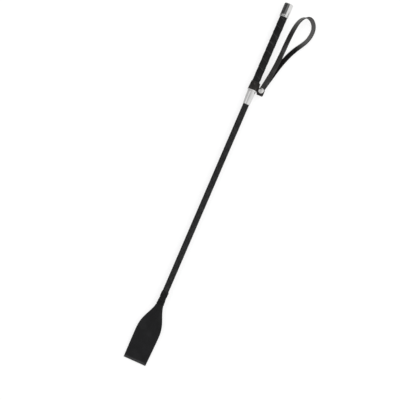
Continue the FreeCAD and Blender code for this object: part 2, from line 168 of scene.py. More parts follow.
class Skin:
    """Collects closed surfaces of one piece, with their materials and attributes."""

    def __init__(self):
        self.points, self.faces, self.slots = [], [], []
        self.coords, self.wear = [], []
        self.count = 0

    def rings(self, rings, slots=0, coords=None, wear=0.0, looped=False):
        """Surface through rings of points; the ends are closed, or joined if looped."""
        rings = np.asarray(rings, float)
        rows, across = rings.shape[:2]
        slots = np.broadcast_to(slots, across)
        base = self.count
        last = rows if looped else rows - 1
        for i in range(last):
            low, high = base + i * across, base + ((i + 1) % rows) * across
            for j in range(across):
                k = (j + 1) % across
                self.faces.append((low + j, low + k, high + k, high + j))
                self.slots.append(int(slots[j]))
        if not looped:
            self.faces.append(tuple(range(base, base + across)))
            self.faces.append(tuple(range(base + last * across, base + (last + 1) * across)))
            self.slots += [int(slots[0])] * 2
        self.points.append(rings.reshape(-1, 3))
        coords = rings if coords is None else np.broadcast_to(coords, rings.shape)
        self.coords.append(np.asarray(coords, float).reshape(-1, 3))
        wear = np.broadcast_to(wear, (rows, across))
        self.wear.append(np.asarray(wear, float).reshape(-1))
        self.count += rows * across

    def lathe(self, profile, segments, middle=(0, 0), up="y"):
        """Surface turned from a closed (radius, height) profile."""
        angles = np.linspace(0, 2 * math.pi, segments, endpoint=False)
        rings = []
        for radius, height in profile:
            side, front = radius * np.sin(angles), radius * np.cos(angles)
            level = np.full(segments, height)
            if up == "y":
                rings.append(np.stack([middle[0] + side, level, middle[1] + front], 1))
            else:
                rings.append(np.stack([middle[0] + side, middle[1] + front, level], 1))
        self.rings(rings, looped=True)

    def sweep(self, path, outward, section, slots=0, shift=0.0, wear=0.0, looped=False):
        """Section of (across, outward) points carried along a path; shift sets its texture apart."""
        path = np.asarray(path, float)
        along = np.roll(path, -1, 0) - np.roll(path, 1, 0) if looped else np.gradient(path, axis=0)
        across = np.cross(along, outward)
        across /= np.linalg.norm(across, axis=1)[:, None]
        outward = np.cross(across, along)
        outward /= np.linalg.norm(outward, axis=1)[:, None]
        section = np.asarray(section, float)
        section = np.broadcast_to(section, (len(path),) + section.shape[-2:])
        a, b = section[..., 0], section[..., 1]
        rings = path[:, None] + across[:, None] * a[..., None] + outward[:, None] * b[..., None]
        far = np.broadcast_to(chord_steps(path)[:, None] + shift * 13.1, a.shape)
        self.rings(rings, slots, np.stack([far, a + shift * 4.7, b], 2), wear, looped)

    def build(self, name, materials, body=None, sharp=40.0):
        mesh = bpy.data.meshes.new(name)
        points = np.concatenate(self.points) * MM
        mesh.from_pydata(points.tolist(), [], self.faces)
        mesh.polygons.foreach_set("material_index", self.slots)
        coords = mesh.attributes.new("coords", "FLOAT_VECTOR", "POINT")
        coords.data.foreach_set("vector", (np.concatenate(self.coords) * MM).reshape(-1))
        wear = mesh.attributes.new("wear", "FLOAT", "POINT")
        wear.data.foreach_set("value", np.concatenate(self.wear))
        shape = bmesh.new()
        shape.from_mesh(mesh)
        bmesh.ops.remove_doubles(shape, verts=shape.verts, dist=1e-7)
        bmesh.ops.dissolve_degenerate(shape, edges=shape.edges, dist=1e-8)
        bmesh.ops.recalc_face_normals(shape, faces=shape.faces)
        shape.to_mesh(mesh)
        shape.free()
        mesh.shade_smooth()
        mesh.set_sharp_from_angle(angle=math.radians(sharp))
        for material in materials:
            mesh.materials.append(material)
        piece = new_object(name, mesh)
        if body:
            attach(piece, body)
        return piece


# ---- materials ----

class Shader:
    """A material's nodes, made and joined in few words."""

    def __init__(self, name, roughness, specular=0.5, metallic=0.0, sheen=0.0):
        self.material = bpy.data.materials.new(name)
        self.material.use_nodes = True
        self.tree = self.material.node_tree
        self.surface = self.tree.nodes["Principled BSDF"]
        plain = {"Roughness": roughness, "Specular IOR Level": specular, "Metallic": metallic,
                 "Sheen Weight": sheen, "Sheen Roughness": 0.45}
        for key, value in plain.items():
            self.surface.inputs[key].default_value = value

    def node(self, kind, inputs=None, **settings):
        made = self.tree.nodes.new("ShaderNode" + kind)
        for key, value in settings.items():
            setattr(made, key, value)
        for key, value in (inputs or {}).items():
            self.put(made, key, value)
        return made

    def put(self, node, key, value):
        if isinstance(value, bpy.types.NodeSocket):
            self.tree.links.new(value, node.inputs[key])
        else:
            node.inputs[key].default_value = value

    def coords(self):
        """Coordinates that stay on the piece: along it, across it and through it."""
        return self.node("Attribute", attribute_name="coords").outputs["Vector"]

    # the wear attribute holds wear, and on the strap's loop and the tongue's fold also painted light
    def wear(self):
        return self.node("Attribute", attribute_name="wear").outputs["Fac"]

    def stretched(self, vector, scale):
        return self.node("Mapping", {"Vector": vector, "Scale": scale}).outputs["Vector"]

    def noise(self, vector, scale, detail=3.0, roughness=0.55):
        inputs = {"Vector": vector, "Scale": scale, "Detail": detail, "Roughness": roughness}
        return self.node("TexNoise", inputs).outputs["Fac"]

    def cells(self, vector, scale):
        return self.node("TexVoronoi", {"Vector": vector, "Scale": scale}).outputs["Distance"]

    def fitted(self, value, low, high, out_low, out_high):
        inputs = {0: value, 1: low, 2: high, 3: out_low, 4: out_high}
        return self.node("MapRange", inputs).outputs[0]

    def maths(self, operation, first, second):
        return self.node("Math", {0: first, 1: second}, operation=operation).outputs[0]

    def colours(self, factor, first, second):
        return self.over(factor, (*first, 1), second)

    def over(self, factor, below, above):
        """Colour above laid over what is below, which is a colour or a socket."""
        made = self.node("Mix", data_type="RGBA")
        self.put(made, 0, factor)
        self.put(made, 6, below)
        self.put(made, 7, (*above, 1))
        return made.outputs[2]

    def bump(self, height, depth, strength, under=None):
        inputs = {"Height": height, "Distance": depth, "Strength": strength}
        made = self.node("Bump", inputs)
        if under is not None:
            self.put(made, "Normal", under)
        return made.outputs["Normal"]

    def glow(self, strength):
        self.surface.inputs["Emission Color"].default_value = (1, 1, 1, 1)
        self.surface.inputs["Emission Strength"].default_value = strength

    def finish(self, colour, roughness=None, normal=None):
        for key, value in (("Base Color", colour), ("Roughness", roughness), ("Normal", normal)):
            if value is not None:
                self.put(self.surface, key, value)
        return self.material


def leather(name, dark, light, worn_and_lit_tone, grain, depth, roughness, specular):
    """Dyed leather: pebbled grain, fine pores, uneven dye, and a paler tone where the wear attribute
    is high, which is wear and, on the strap's loop and the tongue's fold, painted light.
    """
    s = Shader(name, roughness, specular)
    at = s.coords()
    pebbles = s.cells(at, 1 / (grain * MM))
    creases = s.noise(s.stretched(at, (0.35, 1.0, 1.0)), 0.35 / (grain * MM), 4.0, 0.6)
    pores = s.noise(at, 5 / (grain * MM), 2.0, 0.6)
    patches = s.noise(at, 70.0, 3.0, 0.6)
    colour = s.colours(s.fitted(patches, 0.35, 0.68, 0.0, 1.0), dark, light)
    colour = s.over(s.fitted(pebbles, 0.45, 0.85, 0.0, 0.75), colour, tuple(c * 0.45 for c in dark))
    wear_and_light_mask = s.maths("MULTIPLY", s.wear(), s.fitted(creases, 0.3, 0.65, 0.35, 1.0))
    colour = s.over(wear_and_light_mask, colour, worn_and_lit_tone)
    height = s.maths("ADD", s.maths("MULTIPLY", pebbles, -0.75), s.maths("MULTIPLY", creases, 0.9))
    normal = s.bump(height, depth * MM, 0.9)
    normal = s.bump(pores, depth * 0.3 * MM, 0.7, normal)
    gloss = s.fitted(s.noise(at, 160.0, 3.0), 0.3, 0.7, roughness - 0.07, roughness + 0.09)
    return s.finish(colour, gloss, normal)


def flesh_side(name, dark, light, worn_and_lit_tone, roughness):
    """Inner side of leather: short matted fibres, no grain, and a paler tone where the wear
    attribute is high, which is wear and, on the strap's loop, painted light.
    """
    s = Shader(name, roughness, 0.12, sheen=0.02)
    at = s.coords()
    fibres = s.noise(s.stretched(at, (0.5, 1.0, 1.0)), 2600.0, 5.0, 0.7)
    patches = s.noise(at, 120.0, 3.0)
    colour = s.colours(s.fitted(patches, 0.3, 0.7, 0.0, 1.0), dark, light)
    colour = s.over(s.fitted(fibres, 0.45, 0.75, 0.0, 0.5), colour, tuple(c * 1.8 for c in light))
    wear_and_light_mask = s.maths("MULTIPLY", s.wear(), s.fitted(fibres, 0.25, 0.7, 0.6, 1.0))
    colour = s.over(wear_and_light_mask, colour, worn_and_lit_tone)
    normal = s.bump(fibres, 0.10 * MM, 0.8)
    return s.finish(colour, s.fitted(fibres, 0.3, 0.7, roughness - 0.06, roughness + 0.1), normal)


def yarn(name, dark, light, filament, roughness, sheen):
    """Twisted or flat yarn: fine filaments along its length, a few of them catching light."""
    s = Shader(name, roughness, 0.05, sheen=sheen)
    at = s.coords()
    lengthways = s.stretched(at, (0.06, 1.0, 1.0))
    filaments = s.noise(lengthways, 1 / (filament * MM), 3.0, 0.65)
    fuzz = s.noise(at, 900.0, 3.0)
    patches = s.noise(at, 110.0, 3.0)
    colour = s.colours(s.fitted(filaments, 0.35, 0.7, 0.0, 1.0), dark, light)
    colour = s.over(s.fitted(patches, 0.42, 0.7, 0.0, 0.7), colour, tuple(c * 1.8 for c in light))
    normal = s.bump(filaments, 0.09 * MM, 0.85)
    normal = s.bump(fuzz, 0.05 * MM, 0.4, normal)
    return s.finish(colour, s.fitted(filaments, 0.3, 0.7, roughness + 0.1, roughness - 0.08), normal)


def polished(name, tint, roughness, marks=0.5):
    """Plated metal: bright, with faint smears, hairline scratches and shallow handling dents."""
    s = Shader(name, roughness, 0.5, metallic=1.0)
    at = s.coords()
    smears = s.noise(s.stretched(at, (1.0, 0.4, 1.0)), 140.0, 4.0, 0.6)
    scratches = s.noise(s.stretched(at, (1.0, 0.04, 1.0)), 5200.0, 2.0, 0.7)
    dents = s.noise(at, 260.0, 1.0, 0.4)
    dull = tuple(c * 0.86 for c in tint)
    colour = s.colours(s.fitted(smears, 0.35, 0.7, 0.0, 1.0), tint, dull)
    gloss = s.fitted(smears, 0.3, 0.75, roughness * 0.7, roughness * 1.9)
    gloss = s.maths("ADD", gloss, s.fitted(scratches, 0.62, 0.8, 0.0, 0.10 * marks))
    normal = s.bump(dents, 0.05 * MM * marks, 0.35)
    normal = s.bump(scratches, 0.004 * MM, 0.4 * marks, normal)
    return s.finish(colour, gloss, normal)


def hidden(name, dark, light, scale, stretch, roughness, metallic=0.0):
    """Plain procedural finish for what lies inside: grain or fibres along the crop."""
    s = Shader(name, roughness, 0.4, metallic)
    at = s.node("TexCoord").outputs["Object"]
    grain = s.noise(s.stretched(at, stretch), scale, 5.0, 0.6)
    colour = s.colours(s.fitted(grain, 0.3, 0.7, 0.0, 1.0), dark, light)
    normal = s.bump(grain, 0.08 * MM, 0.5)
    return s.finish(colour, s.fitted(grain, 0.3, 0.7, roughness - 0.08, roughness + 0.08), normal)


# the third colour of each leather is its paler tone where the wear attribute is high; on the strap
# and the tongue it also paints light
GRIP_LEATHER = leather("grip_leather", (0.0065, 0.0065, 0.0068), (0.0125, 0.0125, 0.0128),
                       (0.070, 0.070, 0.070), 0.75, 0.10, 0.50, 0.12)
CUFF_LEATHER = leather("cuff_leather", (0.0095, 0.0085, 0.0080), (0.024, 0.0215, 0.020),
                       (0.085, 0.076, 0.070), 0.70, 0.10, 0.52, 0.18)
STRAP_LEATHER = leather("strap_leather", (0.012, 0.0115, 0.011), (0.023, 0.0225, 0.022),
                        (0.13, 0.127, 0.124), 0.65, 0.07, 0.38, 0.38)
STRAP_FLESH = flesh_side("strap_flesh_side", (0.004, 0.004, 0.0039), (0.008, 0.0078, 0.0076),
                         (0.12, 0.118, 0.116), 0.6)
TONGUE_LEATHER = leather("tongue_leather", (0.0075, 0.0075, 0.0080), (0.0105, 0.0105, 0.0115),
                         (0.055, 0.055, 0.057), 0.60, 0.04, 0.50, 0.16)
EDGE_PAINT = leather("painted_leather_edge", (0.006, 0.006, 0.006), (0.012, 0.0115, 0.011),
                     (0.055, 0.052, 0.050), 0.40, 0.05, 0.45, 0.22)
BRAID_YARN = yarn("braid_yarn", (0.006, 0.006, 0.0062), (0.023, 0.023, 0.0235), 0.16, 0.48, 0.0)
WHIP_THREAD = yarn("waxed_thread", (0.005, 0.005, 0.0052), (0.014, 0.014, 0.0145), 0.14, 0.44, 0.0)
SEAM_THREAD = yarn("seam_thread", (0.006, 0.006, 0.0065), (0.026, 0.026, 0.027), 0.14, 0.44, 0.02)
CHROME = polished("chrome_plate", (0.905, 0.90, 0.893), 0.07)
RIVET_METAL = polished("nickel_plate", (0.86, 0.85, 0.84), 0.13, 0.8)


# ---- shaft ----

def around(radius, angle, y):
    """Points at a radius and angle about the shaft's axis; angle 0 is up and 90 degrees is +X."""
    return np.stack([radius * np.sin(angle), y + 0 * angle, radius * np.cos(angle)], 1)


def out_from_axis(angle):
    return np.stack([np.sin(angle), 0 * angle, np.cos(angle)], 1)


def yarn_section(width, top, bottom):
    """Flattened yarn, seen end on."""
    half = width / 2
    return [(half, 0), (half * 0.55, top * 0.86), (-half * 0.55, top * 0.86),
            (-half, 0), (-half * 0.5, -bottom), (half * 0.5, -bottom)]


def braid():
    """Cover of 24 flat yarns, half of them winding each way, over two and under two."""
    carriers, turn, lift, half = 12, 0.163, 0.16, 0.19
    middle = BRAID_HIGH.x - lift - half
    start, end = SLEEVE_LOW.y + 8, BRAID_LOW.y + 0.3
    y = np.linspace(start, end, 500)
    crossing = y * turn * carriers / math.pi
    skin = Skin()
    for way in (1, -1):
        for n in range(carriers):
            angle = 2 * math.pi * n / carriers + way * turn * y
            weave = way * np.cos(math.pi / 2 * (2 * n + way * crossing - 0.5))
            radius = middle + lift * weave
            width = 1.96 * (1 + 0.05 * np.sin(y * 0.21 + n * 2.4))
            section = np.array(yarn_section(1.0, half, 0.07))[None] * np.ones((len(y), 1, 1))
            section[..., 0] *= width[:, None]
            shift = n + (20 if way > 0 else 0)
            skin.sweep(around(radius, angle, y), out_from_axis(angle), section, shift=shift)
    piece = skin.build("shaft_braid_yarns", [BRAID_YARN], "crop")
    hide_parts("shaft_braid")


def knot():
    """Woven knot of three leads and five bights, each lead three threads wide."""
    leads, bights = 3, 5
    centre = (KNOT_LOW.y + KNOT_HIGH.y) / 2
    reach = (KNOT_HIGH.y - KNOT_LOW.y) / 2 - 1.75
    middle, lift = KNOT_HIGH.x - 0.42, 0.18
    angle = np.linspace(0, 2 * math.pi * leads, 900, endpoint=False)
    wave = bights * angle / leads
    height = reach * np.cos(wave)
    slope = -reach * np.sin(wave) * bights / leads / middle
    skin = Skin()
    for n, shift in enumerate((-1.13, 0.0, 1.13)):
        turned = np.sqrt(1 + slope ** 2)
        place = angle - shift * slope / turned / middle
        y = centre + height + shift / turned
        radius = middle + lift * np.sin(2 * wave) + 0.02 * np.sin(7 * angle + n)
        section = yarn_section(1.12, 0.24, 0.16)
        skin.sweep(around(radius, place, y), out_from_axis(place), section, shift=n, looped=True)
    piece = skin.build("neck_knot_weave", [WHIP_THREAD], "crop")
    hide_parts("neck_knot")


def round_section(radius):
    angles = np.linspace(0, 2 * math.pi, 8, endpoint=False)
    return [(radius * math.cos(a), radius * math.sin(a)) for a in angles]


def whipping():
    """Thread wound side by side round the neck, with four threads crossing over it each way."""
    top, low = WHIP_HIGH.y, WHIP_LOW.y
    length = top - low
    thread = 0.33

    def outside(y):
        return WHIP_HIGH.x - 0.95 * (y - low) / length

    skin = Skin()
    turns = (length - 0.8) / (2 * thread)
    share = np.linspace(0, 1, int(turns * 40))
    angle = 2 * math.pi * turns * share
    y = top - 0.45 - (length - 0.9) * share + 0.05 * np.sin(angle * 0.13)
    tuck = smoothstep(share * turns * 4) * smoothstep((1 - share) * turns * 4)
    radius = outside(y) - 0.20 - thread - 0.5 * (1 - tuck) + 0.03 * np.sin(angle * 0.37)
    skin.sweep(around(radius, angle, y), out_from_axis(angle), round_section(thread * 1.02))
    share, half_turns = np.linspace(0, 1, 70), 1.15
    y = top - 0.3 - (length - 0.6) * share
    for n in range(4):
        for way in (1, -1):
            angle = math.pi / 2 * n + way * half_turns * math.pi * share
            sink = 0.55 * (1 - smoothstep(share * 9) * smoothstep((1 - share) * 9))
            over = 0.05 * way * np.cos(share * half_turns * 4 * math.pi + math.pi * n)
            radius = outside(y) - 0.28 - sink + over
            section = yarn_section(0.85, 0.26, 0.2)
            shift = 3 + n + way
            skin.sweep(around(radius, angle, y), out_from_axis(angle), section, shift=shift)
    piece = skin.build("neck_whipping_thread", [WHIP_THREAD], "crop")
    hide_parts("neck_whipping")


# ---- handle ----

def grip_section(width):
    """Outer and inner line of the lapped strip, as distance below its upper edge and radius."""
    outer = [(0, 5.60), (0.5, 5.84), (2.2, 6.20), (4.5, 6.33), (8.0, 6.42), (11.5, 6.50)]
    outer += [(width - 2.5, 6.56), (width - 1.2, 6.60), (width - 0.6, 6.57), (width - 0.25, 6.47),
              (width - 0.05, 6.34)]
    inner = [(width - 0.1, 6.24), (width - 0.7, 6.07), (width - 1.9, 5.68), (width - 2.6, 5.28),
             (9.0, 5.24), (4.0, 5.24), (0.1, 5.24)]
    return outer, inner


def grip():
    """Leather strip wound round the handle, each turn lapped over the one below it."""
    pitch, width, phase, segments = 15.2, 17.2, 1.05, 72
    top, low = GRIP_HIGH.y, GRIP_LOW.y
    outer, inner = grip_section(width)
    fine = np.concatenate([np.linspace(0, 2, 5), np.linspace(2.6, width - 1.9, 11),
                           [width - 1.2, width - 0.8, width - 0.5, width - 0.25, width - 0.05]])
    u = np.concatenate([fine, [p[0] for p in inner]])
    is_outer = np.arange(len(u)) < len(fine)
    turns = (top + pitch - low - 0.6) / pitch
    angle = np.linspace(0.02, 2 * math.pi * turns, int(turns * segments))
    edge_y = top + pitch - pitch * angle / (2 * math.pi)
    lows, highs = np.maximum(0, edge_y - top), np.minimum(width, edge_y - low)
    u = np.clip(u[None], lows[:, None], highs[:, None])
    outside = np.interp(u, *zip(*outer))
    inside = np.interp(u, *zip(*inner[::-1]))
    far = angle[:, None] * 6.5
    pucker = 0.045 * ripple(far, u, size=5.5) + 0.02 * ripple(far, u * 2.5, size=1.6, seed=3.0)
    edge = smoothstep((u - width + 1.6) / 1.1)
    dents = -0.06 * edge * smoothstep(ripple(far, size=3.1, seed=5.0))
    radius = np.where(is_outer, np.minimum(outside + pucker + dents, GRIP_HIGH.x), inside)
    y = edge_y[:, None] - u
    around_axis = angle[:, None] - phase
    rings = np.stack([radius * np.sin(around_axis), y, radius * np.cos(around_axis)], 2)
    coords = np.stack([far + 0 * u, u, radius], 2)
    rub = smoothstep((u - width + 1.0) / 0.5) * (0.45 + 0.4 * ripple(far, size=9.0, seed=2.0))
    rub = rub + 0.2 * smoothstep(ripple(far, u, size=14.0, seed=8.0) * 2 - 0.8)
    skin = Skin()
    skin.rings(rings, 0, coords, np.where(is_outer, rub, 0))
    piece = skin.build("grip_leather_winding", [GRIP_LEATHER], "crop", sharp=60)
    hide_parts("grip_wrap")


RING_BORE = 6.78          # over the spigot of the handle's core


def turned(name, profile):
    skin = Skin()
    skin.lathe(profile, 128)
    return skin.build(name, [CHROME], "crop")


def butt_cap():
    """Drawn cup: rolled lip, straight wall, rounded shoulder and a faint crown."""
    radius, top, base = CAP_HIGH.x, CAP_HIGH.y, CAP_LOW.y
    inner, wall, crown, shoulder = RING_BORE, 0.8, 0.35, 1.75
    edge_y = top - crown - shoulder
    profile = [(inner, base), (radius - 0.22, base), (radius - 0.06, base + 0.05),
               (radius, base + 0.2), (radius, base + 0.75), (radius - 0.05, base + 0.92),
               (radius - 0.16, base + 1.05), (radius - 0.18, base + 1.2),
               (radius - 0.1, base + 1.36), (radius - 0.06, base + 1.6),
               (radius - 0.03, base + 6.0), (radius - 0.03, base + 14.0)]
    profile += arc((radius - shoulder - 0.03, edge_y), shoulder, 0, 78, 9)
    for share in (0.86, 0.7, 0.5, 0.25, 0.0):
        profile.append(((radius - 2.2) * share, top - 0.27 * share ** 2))
    profile += [(0, top - crown - wall), (inner - 1.2, top - crown - wall),
                (inner, top - crown - wall - 1.2)]
    piece = turned("butt_cap_shell", profile)
    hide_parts("butt_cap")


def cap_ring():
    """Rolled ring, rounded across its crest."""
    low, high, radius = RING_LOW.y, RING_HIGH.y, RING_HIGH.x
    middle, half = (low + high) / 2, (high - low) / 2
    profile = [(RING_BORE, low), (radius - half - 0.1, low)]
    profile += arc((radius - half, middle), half, -82, 82, 13)
    profile += [(radius - half - 0.1, high), (RING_BORE, high)]
    piece = turned("cap_ring_roll", profile)
    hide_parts("cap_ring")


def ferrule_sleeve():
    """Tapered sleeve with a rolled lip at the shaft and a hidden stub for the cuff."""
    end, stub_top, shoulder = SLEEVE_LOW.y, SLEEVE_HIGH.y, BEAD_LOW.y
    inner, lip, stub = BRAID_HIGH.x + 0.06, 5.75, 6.2
    profile = [(inner, end + 0.1), (inner + 0.08, end), (lip - 0.1, end), (lip, end + 0.1)]
    profile += [(lip + 0.01, end + 0.5), (lip - 0.04, end + 0.68), (lip - 0.04, end + 0.85)]
    for share in np.linspace(0.06, 0.955, 12):
        profile.append((lip + 1.25 * math.sin(share * 1.45), end + (shoulder - end) * share))
    neck = lip + 0.95
    profile += [(neck + 0.1, shoulder - 0.9), (neck, shoulder - 0.6), (neck, shoulder)]
    profile += [(stub, shoulder - 0.02), (stub, stub_top - 0.3), (stub - 0.2, stub_top)]
    profile.append((inner, stub_top))
    piece = turned("ferrule_sleeve_taper", profile)
    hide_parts("ferrule_sleeve")


def ferrule_bead():
    """Rounded bead against the sleeve's shoulder, over the stub."""
    low, top, radius, bore = BEAD_LOW.y, BEAD_HIGH.y, BEAD_HIGH.x, 6.22
    half = (top - low) / 2
    profile = [(bore, low + 0.02), (radius - half - 0.35, low + 0.02)]
    profile += arc((radius - half, low + half), half, -80, 80, 15)
    profile += [(radius - half - 0.35, top), (bore, top)]
    piece = turned("ferrule_bead_roll", profile)
    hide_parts("ferrule_bead")


# ---- cuff, rivet and wrist strap ----

RIVET_SHANK = 1.7
CUFF_BORE = 6.25
BAND_TOP, BAND_LOW = CUFF_HIGH.y, BEAD_HIGH.y + 0.3


def cuff_path():
    """Inner line of the cuff from the ear's end, round the stub and back: points and normals."""
    bore, fillet, gap = CUFF_BORE, 2.2, 0.03
    centre = (math.sqrt((bore + fillet) ** 2 - (gap + fillet) ** 2), gap + fillet)
    meet = math.atan2(centre[1], centre[0])
    points, normals = [], []
    for x in np.linspace(CUFF_HIGH.x - 0.1, centre[0] + 0.2, 22):
        points.append((x, gap))
        normals.append((0, 1))
    for a in np.linspace(-math.pi / 2, -math.pi + meet, 9):
        points.append((centre[0] + fillet * math.cos(a), centre[1] + fillet * math.sin(a)))
        normals.append((-math.cos(a), -math.sin(a)))
    for a in np.linspace(meet, math.pi, 60)[1:]:
        points.append((bore * math.cos(a), bore * math.sin(a)))
        normals.append((math.cos(a), math.sin(a)))
    points, normals = np.array(points), np.array(normals)
    flip = np.array([1, -1])
    return (np.concatenate([points, points[-2::-1] * flip]),
            np.concatenate([normals, normals[-2::-1] * flip]))


def cuff_edges(points, from_end):
    """Lower and upper edge of the strip; the ear sits lower and has rounded corners."""
    clear_x, corner = 8.75, 1.7
    ear = points[:, 0] >= clear_x
    ease = smoothstep((points[:, 0] - clear_x + 0.6) / 1.3) * (from_end < 14)
    drop = np.sqrt(np.maximum(0, corner ** 2 - (corner - from_end) ** 2))
    inset = np.where(from_end < corner, corner - drop, 0) * ear
    high = BAND_TOP + (RIVET.y + 3.3 - BAND_TOP) * ease - inset
    low = BAND_LOW + (CUFF_LOW.y - BAND_LOW) * ease + inset
    return low, high


def cuff_sides(point, from_end, y, edge):
    """Distance of the outer and the inner side from the cuff's inner line, across the strip."""
    cone = 7.5 + 0.65 * (BAND_TOP - y) / (BAND_TOP - BAND_LOW)
    on_band = smoothstep((9.6 - point[0]) / 2.0)
    thick = 1.36 * (1 - on_band) + (cone - CUFF_BORE) * on_band
    rounded = 0.34 * (1 - np.sqrt(np.clip(1 - (1 - np.clip(edge / 0.45, 0, 1)) ** 2, 0, 1)))
    crease = 0.10 * np.exp(-((edge - 1.25) / 0.22) ** 2)
    tip = 0.5 * (1 - smoothstep(from_end / 0.5 + 0.25))
    uneven = 0.035 * ripple(y, from_end + 0 * y, size=2.2, seed=1.0)
    return thick - rounded - crease - tip + uneven - 0.03, 0.18 * (rounded / 0.34)


def cuff():
    """One strip of leather round the stub, its two ends laid together as the ear."""
    points, normals = cuff_path()
    steps = chord_steps(points)
    ends = np.minimum(steps, steps[-1] - steps)
    low, high = cuff_edges(points, ends)
    across = np.concatenate([[0.0, 0.012, 0.035, 0.08, 0.13], np.linspace(0.2, 0.8, 9),
                             [0.87, 0.92, 0.965, 0.988, 1.0]])
    rings, coords, wear = [], [], []
    for i, step in enumerate(steps):
        y = low[i] + (high[i] - low[i]) * across
        back = y[::-2]
        edge = np.minimum(y - low[i], high[i] - y)
        outside, inside = cuff_sides(points[i], ends[i], y, edge)
        outer_points = points[i] + normals[i] * outside[:, None]
        inner_points = points[i] + normals[i] * inside[:, None]
        ring = [(p[0], v, p[1]) for p, v in zip(outer_points, y)]
        ring += [(p[0], v, p[1]) for p, v in zip(inner_points[::-2], back)]
        rings.append(ring)
        coords.append([(step, v, 1.0) for v in y] + [(step, v, 0.0) for v in back])
        rub = np.clip(1 - edge, 0, 1) ** 1.5 * 0.4
        rub = rub + 0.3 * smoothstep(ripple(y, step + 0 * y, size=4.0) * 1.6)
        wear.append(list(rub) + [0.1] * len(back))
    slots = [0] * (len(across) - 1) + [2] + [1] * (len(rings[0]) - len(across) - 1) + [2]
    skin = Skin()
    skin.rings(rings, slots, coords, wear)
    piece = skin.build("cuff_leather_strip", [CUFF_LEATHER, STRAP_FLESH, EDGE_PAINT], sharp=55)
    drill(piece, RIVET_SHANK + 0.02)
    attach(piece, "cuff")
    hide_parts("strap_cuff")


def drill(piece, radius):
    """Cuts the rivet's hole through a piece."""
    skin = Skin()
    reach = 12
    profile = [(0, -reach), (radius, -reach), (radius, reach), (0, reach)]
    skin.lathe(profile, 48, (RIVET.x, RIVET.y), up="z")
    cutter = skin.build("rivet_hole_cutter", [])
    cut = piece.modifiers.new("hole", "BOOLEAN")
    cut.object, cut.solver, cut.operation = cutter, "EXACT", "DIFFERENCE"
    graph = bpy.context.evaluated_depsgraph_get()
    done = bpy.data.meshes.new_from_object(piece.evaluated_get(graph), depsgraph=graph)
    piece.modifiers.clear()
    piece.data = done
    bpy.data.objects.remove(cutter)


def rivets():
    """Domed cap with its post, and a flatter back cap with the hollow shank."""
    middle = (RIVET.x, RIVET.y)
    radius, base, top = (RIVET_HIGH.x - RIVET_LOW.x) / 2, 3.4, RIVET_HIGH.z

    def dome(foot, crest, way):
        rise = abs(crest - foot) - 0.45
        ball = (radius ** 2 + rise ** 2) / (2 * rise)
        points = [(radius - 0.3, foot), (radius - 0.08, foot + way * 0.05),
                  (radius, foot + way * 0.2), (radius, foot + way * 0.36),
                  (radius - 0.06, foot + way * 0.5)]
        for share in (0.955, 0.88, 0.78, 0.66, 0.52, 0.36, 0.18, 0.0):
            r = radius * share
            height = math.sqrt(ball ** 2 - r ** 2) - (ball - rise)
            points.append((r, foot + way * (0.45 + height)))
        return points

    skin = Skin()
    skin.lathe([(1.0, -3.0), (1.0, base)] + dome(base, top, 1) + [(0, -3.0)], 96, middle, up="z")
    piece = skin.build("rivet_cap_dome", [RIVET_METAL], "cuff")
    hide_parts("rivet_cap")
    skin = Skin()
    profile = [(1.02, base - 0.02), (RIVET_SHANK, base - 0.02), (RIVET_SHANK, -base)]
    profile += dome(-base, BACK_LOW.z, -1) + [(0, -3.0), (1.02, -3.0)]
    skin.lathe(profile, 96, middle, up="z")
    piece = skin.build("rivet_back_dome", [RIVET_METAL], "cuff")
    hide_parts("rivet_back")


# the route of the wrist strap between its flat ends, as in part.py: x, y, z and roll in degrees
STRAP_ROUTE = [
    (16.5, -54, 2.7, 4), (17.9, -44.8, 3.5, 12), (19.5, -31.4, 4.5, 22),
    (20.6, -18, 5, 25), (21.3, -4.7, 5.2, 27), (21.8, 15.4, 5.2, 28),
    (22.6, 35.4, 4.8, 31), (24.1, 50.4, 3.9, 38), (27.2, 63.5, 2.7, 50),
    (33.3, 72.3, 1.5, 72), (41.3, 75, 0, 116), (48.9, 70.5, -2, 134),
    (53.9, 60.9, -3.5, 136), (54.3, 50, -4.2, 138), (50.6, 36.3, -4.4, 139),
    (42.8, 22.6, -4.5, 148), (35.6, 8.9, -4.5, 155), (30.2, -4.7, -4.3, 159),
    (26, -18, -3.9, 162), (22.6, -31.4, -3.3, 167), (19.6, -44.8, -2.8, 173),
    (17.4, -54, -2.5, 177),
]
STRAP_END_Z = 2.4
STRAP_HALF, STRAP_THICK = 4.35, 0.85     # half of its width, and of its thickness
SECTION_HALF = 4.33                      # as strap_profile() is drawn
TAB = 7.0
FRONT_ANGLE, BACK_ANGLE = 10.0, 12.5


def tab_point(angle, distance, z):
    turn = math.radians(angle)
    return (RIVET.x + distance * math.sin(turn), RIVET.y + distance * math.cos(turn), z)


def strap_line():
    """Middle line of the strap, from the front end to the back end, and its roll."""
    route = [tab_point(FRONT_ANGLE, d, STRAP_END_Z) + (0.0,) for d in (0, 3.5, TAB)]
    route += STRAP_ROUTE
    route += [tab_point(BACK_ANGLE, d, -STRAP_END_Z) + (180.0,) for d in (TAB, 3.5, 0)]
    route = np.array(route)
    steps = chord_steps(route[:, :3])
    line = natural_spline(route, steps)(np.linspace(0, steps[-1], 300))
    half = STRAP_HALF
    beyond = half * np.sin(np.linspace(0, math.pi / 2, 9))[1:]
    front = np.array([tab_point(FRONT_ANGLE, -d, STRAP_END_Z) + (0.0,) for d in beyond])
    back = np.array([tab_point(BACK_ANGLE, -d, -STRAP_END_Z) + (180.0,) for d in beyond])
    widths = np.concatenate([np.sqrt(half ** 2 - beyond[::-1] ** 2), np.full(300, half),
                             np.sqrt(half ** 2 - beyond ** 2)])
    return np.concatenate([front[::-1], line, back]), widths


